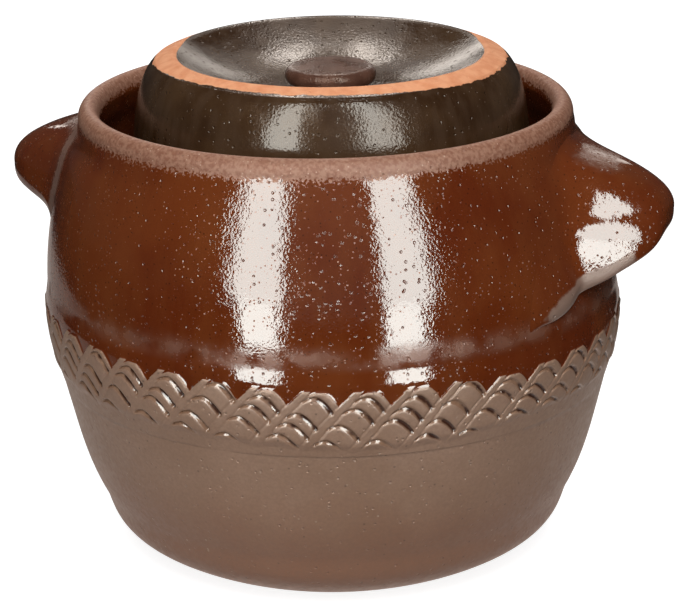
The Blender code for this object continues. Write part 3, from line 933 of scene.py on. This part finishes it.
def body_glaze():
    """Glossy over the shoulder, satin from the belt down, bare clay at the rim.

    A pale, duller band lies over the glaze above the belt. In the belt's grooves, dark pooled glaze is
    laid on together with painted shade, on the falling stretch of each groove.
    """
    paint = Paint("red_brown_crock_glaze")
    y, z = paint.axes()[1:3]
    edge = paint.plus(paint.given("satin"), paint.times(paint.noise(600.0), 0.3))
    satin = paint.span(edge, 0.5, 0.8)
    # A pale, duller band over the glaze just above the belt.
    pale_band = paint.times(paint.span(z, 0.1155, 0.1215), paint.span(z, 0.1300, 0.1225))
    pale_band = paint.times(pale_band, paint.span(paint.noise(90.0, 6.0), 0.28, 0.68))
    broken = paint.span(paint.noise(170.0, 3.0), 0.32, 0.62, 0.25, 1.0)
    pool_and_shade = paint.span(paint.times(paint.given("pool_and_shade"), broken), 0.15, 0.7)
    ragged = paint.plus(z, paint.swing(paint.noise(900.0, 4.0), 0.010))
    rim = paint.span(paint.plus(ragged, paint.times(y, -0.020)), 0.1905, 0.1925)
    glossy = paint.lay(glossy_colour(paint), pale_band, 0.28, (0.26, 0.15, 0.10))
    glossy = paint.lay(glossy, rim, 0.93, rim_clay(paint))
    colour = paint.mix(satin, glossy, satin_colour(paint))
    # Near-black in the grooves: pooled glaze, darkened further as painted shade on their falling stretch.
    colour = paint.lay(colour, pool_and_shade, 0.95, (0.036, 0.009, 0.004))
    satin_dullness = paint.span(paint.noise(400.0), 0.3, 0.7, 0.42, 0.54)
    dull = paint.blend(satin, glossy_dullness(paint), satin_dullness)
    dull = paint.blend(paint.span(paint.given("groove"), 0.05, 0.35), dull, 0.14)
    dull = paint.blend(pale_band, dull, 0.40)
    dull = paint.blend(paint.times(rim, 0.85), dull, 0.60)
    paint.feed(paint.shader.inputs["Specular IOR Level"], paint.span(rim, 0.0, 1.0, 0.5, 0.2))
    return paint.finish(colour, dull, orange_peel(paint))


def ear_glaze():
    """The glossy glaze, thin and greyish along the lip and where an ear is worn."""
    paint = Paint("ear_red_brown_glaze")
    uneven = paint.swing(paint.noise(150.0, 4.0), 1.1)
    thin = paint.span(paint.plus(paint.given("lip"), uneven), 0.40, 0.80)
    colour = paint.lay(glossy_colour(paint), thin, 0.8, (0.225, 0.150, 0.113))
    crease = paint.span(paint.plus(paint.given("crease"), paint.times(uneven, 0.6)), 0.20, 1.00)
    crease = paint.times(crease, paint.span(paint.noise(500.0, 3.0), 0.35, 0.65, 0.5, 1.0))
    colour = paint.lay(colour, crease, 0.6, (0.25, 0.175, 0.135))
    dull = paint.blend(crease, paint.blend(thin, glossy_dullness(paint), 0.42), 0.55)
    return paint.finish(colour, dull, orange_peel(paint, 0.00003))


def bare_ring(paint):
    """Share of bare clay on the lid: a ring with ragged edges, wider at the front."""
    x, y, z = paint.axes()
    radius = paint.math("SQRT", paint.plus(paint.times(x, x), paint.times(y, y)))
    jagged = paint.swing(paint.noise(170.0, 4.0), 0.0028)
    away = horizontal(180.0)
    behind = paint.plus(paint.times(x, away.x), paint.times(y, away.y))
    front = paint.span(y, -0.030, -0.070, 0.0, 0.0026)
    back = paint.span(behind, 0.010, 0.036, 0.0, 0.0024)
    outer = paint.span(paint.plus(paint.plus(radius, jagged), front), 0.0747, 0.0744)
    inward = paint.math("SUBTRACT", paint.plus(radius, paint.times(jagged, 0.25)), back)
    inner = paint.span(inward, 0.0646, 0.0650)
    return paint.times(paint.times(outer, inner), paint.span(z, 0.2120, 0.2125))


def lid_glaze():
    """Black-brown glaze with a bare clay ring between the dish and the skirt."""
    paint = Paint("black_brown_lid_glaze")
    bare = bare_ring(paint)
    clouds = paint.span(paint.noise(35.0, 4.0), 0.35, 0.65)
    runs = paint.span(paint.noise(160.0, 3.0, (1.0, 1.0, 0.15)), 0.40, 0.66)
    colour = paint.mix(clouds, (0.034, 0.0150, 0.006), (0.060, 0.031, 0.014))
    colour = paint.lay(colour, runs, 0.4, (0.075, 0.044, 0.026))
    colour = paint.lay(colour, paint.dots(600.0, 0.22, 0.25), 0.5, (0.20, 0.14, 0.10))
    mottle = paint.span(paint.noise(220.0, 4.0), 0.3, 0.7)
    clay = paint.mix(mottle, (0.66, 0.25, 0.110), (0.75, 0.335, 0.170))
    dull = paint.blend(bare, paint.span(paint.noise(80.0, 3.0), 0.3, 0.7, 0.13, 0.21), 0.75)
    paint.shader.inputs["Specular IOR Level"].default_value = 0.28
    paint.shader.inputs["Specular Tint"].default_value = (1.0, 0.94, 0.90, 1.0)
    return paint.finish(paint.mix(bare, colour, clay), dull, orange_peel(paint, 0.00008))


def knob_glaze():
    """Brown glaze on the button, in clouds, with dark and pale specks."""
    paint = Paint("brown_knob_glaze")
    clouds = paint.span(paint.noise(120.0, 4.0), 0.35, 0.65)
    colour = paint.mix(clouds, (0.078, 0.033, 0.021), (0.112, 0.052, 0.034))
    colour = paint.lay(colour, paint.dots(700.0, 0.25, 0.2), 0.6, (0.030, 0.015, 0.010))
    colour = paint.lay(colour, paint.dots(800.0, 0.22, 0.1), 0.5, (0.42, 0.30, 0.24))
    dull = paint.span(paint.noise(150.0), 0.3, 0.7, 0.24, 0.36)
    paint.shader.inputs["Specular IOR Level"].default_value = 0.20
    paint.shader.inputs["Specular Tint"].default_value = (1.0, 0.92, 0.82, 1.0)
    return paint.finish(colour, dull, orange_peel(paint, 0.00014))


def channel_glaze():
    """Dark glaze in the water channel, rubbed lighter on the collar's rim."""
    paint = Paint("dark_water_channel_glaze")
    clouds = paint.span(paint.noise(45.0, 4.0), 0.35, 0.65)
    colour = paint.mix(clouds, (0.050, 0.015, 0.006), (0.085, 0.028, 0.012))
    wear = paint.plus(paint.axes()[2], paint.times(paint.noise(260.0, 3.0), 0.0018))
    colour = paint.mix(paint.span(wear, 0.1866, 0.1880), colour, (0.16, 0.075, 0.045))
    dull = paint.span(paint.noise(60.0), 0.3, 0.7, 0.16, 0.28)
    return paint.finish(colour, dull, orange_peel(paint))


def stone_clay():
    """Unglazed fired clay, grainy and lightly mottled."""
    paint = Paint("unglazed_weight_clay")
    clouds = paint.span(paint.noise(60.0, 5.0), 0.3, 0.7)
    colour = paint.mix(clouds, (0.40, 0.32, 0.24), (0.52, 0.44, 0.34))
    colour = paint.lay(colour, paint.dots(500.0, 0.25, 0.25), 0.7, (0.17, 0.12, 0.09))
    dull = paint.span(paint.noise(300.0), 0.3, 0.7, 0.78, 0.92)
    return paint.finish(colour, dull, paint.relief(paint.noise(900.0, 4.0), 0.0003))


def floor_paint():
    """White for the camera, with the object's shadow.

    The glaze mirrors only two bright rounds of it: one round the foot and one behind on the left.
    """
    paint = Paint("white_floor")
    paint.finish((0.45, 0.45, 0.45), 0.9)
    paint.shader.inputs["Specular IOR Level"].default_value = 0.0
    rays = paint.add("ShaderNodeLightPath").outputs
    glow = paint.add("ShaderNodeEmission")
    glow.inputs["Strength"].default_value = 0.88
    from_axis = paint.add("ShaderNodeVectorMath", operation="LENGTH")
    paint.feed(from_axis.inputs[0], paint.place)
    from_round = paint.add("ShaderNodeVectorMath", operation="DISTANCE")
    from_round.inputs[1].default_value = horizontal(STAGE_ROUND_AZIMUTH) * STAGE_ROUND_DISTANCE
    paint.feed(from_round.inputs[0], paint.place)
    at_foot = paint.span(from_axis.outputs["Value"], 0.24, 0.32, 0.55, 0.0)
    behind = paint.span(from_round.outputs["Value"], 0.36, 0.42, 0.42, 0.02)
    mirrored = paint.add("ShaderNodeEmission")
    paint.feed(mirrored.inputs["Color"], STAGE_MIRRORED)
    paint.feed(mirrored.inputs["Strength"], paint.plus(at_foot, behind))
    for_camera = paint.add("ShaderNodeAddShader")
    paint.feed(for_camera.inputs[0], paint.shader.outputs[0])
    paint.feed(for_camera.inputs[1], glow.outputs[0])
    surface = paint.shade(rays["Is Camera Ray"], paint.shader.outputs[0], for_camera.outputs[0])
    surface = paint.shade(rays["Is Glossy Ray"], surface, mirrored.outputs[0])
    paint.feed(paint.tree.nodes["Material Output"].inputs["Surface"], surface)
    return paint.material


def dress(node, material):
    """Give a CAD node a better material in every slot."""
    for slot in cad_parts[node].material_slots:
        slot.material = material


def add_lamp(
    name, azimuth, distance, heights, width, brightness, side=0.0, lift=0.0, colour=WHITE, shine=True
):
    """An area lamp that faces the axis, moved aside and tipped down by lift.

    One that shines shows only in reflections, and one that doesn't only lights the object.
    """
    bottom, top = heights
    data = bpy.data.lights.new(name, "AREA")
    data.shape = "RECTANGLE"
    data.size = width
    data.size_y = top - bottom
    data.energy = brightness * math.pi * data.size * data.size_y
    data.color = colour
    lamp = bpy.data.objects.new(name, data)
    bpy.context.scene.collection.objects.link(lamp)
    outward = horizontal(azimuth)
    place = outward * distance + horizontal(azimuth + 90.0) * side
    place.z = (bottom + top) / 2.0
    outward.z = lift
    turn = outward.to_track_quat("Z", "Y").to_matrix().to_4x4()
    lamp.matrix_world = Matrix.Translation(place) @ turn
    lamp.visible_camera = False
    lamp.visible_diffuse = not shine
    lamp.visible_glossy = shine


def add_floor():
    """A wide floor under the crock."""
    corners = [(x * STAGE_SIZE, y * STAGE_SIZE, 0.0) for x, y in ((-1, -1), (1, -1), (1, 1), (-1, 1))]
    mesh = bpy.data.meshes.new("floor")
    mesh.from_pydata(corners, [], [(0, 1, 2, 3)])
    mesh.materials.append(floor_paint())
    floor = bpy.data.objects.new("floor", mesh)
    bpy.context.scene.collection.objects.link(floor)
    floor.location.z = STAGE_HEIGHT


def add_world():
    """White behind everything for the camera, and a little even light."""
    world = bpy.data.worlds.new("studio")
    bpy.context.scene.world = world
    world.use_nodes = True
    tree = world.node_tree
    tree.nodes.clear()
    path = tree.nodes.new("ShaderNodeLightPath")
    for_gloss = tree.nodes.new("ShaderNodeMix")
    for_gloss.inputs[2].default_value = WORLD_LIGHT
    for_gloss.inputs[3].default_value = WORLD_MIRRORED
    tree.links.new(path.outputs["Is Glossy Ray"], for_gloss.inputs[0])
    for_camera = tree.nodes.new("ShaderNodeMix")
    for_camera.inputs[3].default_value = 1.0
    tree.links.new(path.outputs["Is Camera Ray"], for_camera.inputs[0])
    tree.links.new(for_gloss.outputs[0], for_camera.inputs[2])
    background = tree.nodes.new("ShaderNodeBackground")
    background.inputs["Color"].default_value = (*WHITE, 1.0)
    tree.links.new(for_camera.outputs[0], background.inputs["Strength"])
    output = tree.nodes.new("ShaderNodeOutputWorld")
    tree.links.new(background.outputs[0], output.inputs["Surface"])


def add_softbox(name, azimuth, width, side, foot_side, top):
    """A tall lamp in front, in two parts: the lower part is narrower and brighter."""
    for part, heights, wide, level, aside in (
        ("_foot", (SOFTBOX_BOTTOM, SOFTBOX_SPLIT), SOFTBOX_FOOT_WIDTH, SOFTBOX_FOOT_LEVEL, foot_side),
        ("", (SOFTBOX_SPLIT, top), width, SOFTBOX_LEVEL, side),
    ):
        add_lamp(name + part, azimuth, SOFTBOX_DISTANCE, heights, wide, level, aside, colour=COOL)


def add_lights():
    """Lamps that only the glaze mirrors, and at the end two soft ones that it doesn't mirror."""
    add_softbox("softbox_left", -31.0, 0.196, side=0.049, foot_side=0.0555, top=1.40)
    add_softbox("softbox_right", 26.0, 0.191, side=0.0074, foot_side=-0.0116, top=1.70)
    for name, sign, level in (("left", -1.0, 3.8), ("right", 1.0, 2.1)):
        add_lamp("back_" + name, sign * 170.0, 1.00, (1.15, 1.65), 0.11, 17.0, lift=1.2, colour=WARM)
        add_lamp("horizon_" + name, sign * 166.0, 1.50, (0.50, 0.86), 0.45, level, lift=0.3, colour=WARM)
    add_lamp("sweep_back", 180.0, 1.05, (0.80, 1.50), 0.80, 0.9, lift=0.9, colour=WARM)
    add_lamp("overhead", 180.0, 0.42, (0.95, 1.40), 0.60, 2.4, lift=2.2, colour=WARM)
    add_lamp("soft_front", -2.0, 0.95, (0.10, 1.60), 0.60, 0.22)
    add_lamp("soft_key", 0.0, 1.60, (1.00, 2.20), 1.40, 8.9, lift=0.9, shine=False)
    add_lamp("soft_fill", 180.0, 1.60, (1.20, 2.40), 1.40, 3.8, lift=1.1, shine=False)


def add_camera():
    """The photograph's view."""
    data = bpy.data.cameras.new("camera")
    data.lens = CAMERA_LENS
    data.sensor_width = SENSOR_WIDTH
    data.shift_x, data.shift_y = CAMERA_SHIFT
    data.clip_start = 0.01
    data.clip_end = 20.0
    camera = bpy.data.objects.new("camera", data)
    bpy.context.scene.collection.objects.link(camera)
    back = horizontal(0.0) * math.cos(CAMERA_ELEVATION) + Vector((0.0, 0.0, math.sin(CAMERA_ELEVATION)))
    place = Vector((0.0, 0.0, CAMERA_TARGET)) + back * CAMERA_DISTANCE
    look = back.to_track_quat("Z", "Y").to_matrix().to_4x4()
    camera.matrix_world = Matrix.Translation(place) @ look @ Matrix.Rotation(CAMERA_ROLL, 4, "Z")
    bpy.context.scene.camera = camera


def add_pieces():
    """Every piece that stands for a CAD node."""
    ears = ear_glaze()
    right = ear_mesh("right_ear", 0.0, worn_top)
    left = ear_mesh("left_ear", math.pi, worn_root, lift=0.0012, trim=0.875)
    dark = channel_glaze()
    add_piece("turned_pot", body_mesh(), "crock", ["crock_body"], body_glaze())
    add_piece("channel_collar", collar_mesh(), "crock", ["water_channel_collar"], dark)
    add_piece("right_ear", right, "crock", ["handle_right"], ears)
    add_piece("left_ear", left, "crock", ["handle_left"], ears)
    add_piece("bell_lid", lid_mesh(), "lid", ["lid_shell"], lid_glaze())
    add_piece("button_knob", knob_mesh(), "lid", ["lid_knob"], knob_glaze())
    clay = stone_clay()
    dress("weight_stone_left", clay)
    dress("weight_stone_right", clay)


bpy.context.scene.view_settings.view_transform = "Standard"
add_camera()
add_world()
add_lights()
add_floor()
add_pieces()
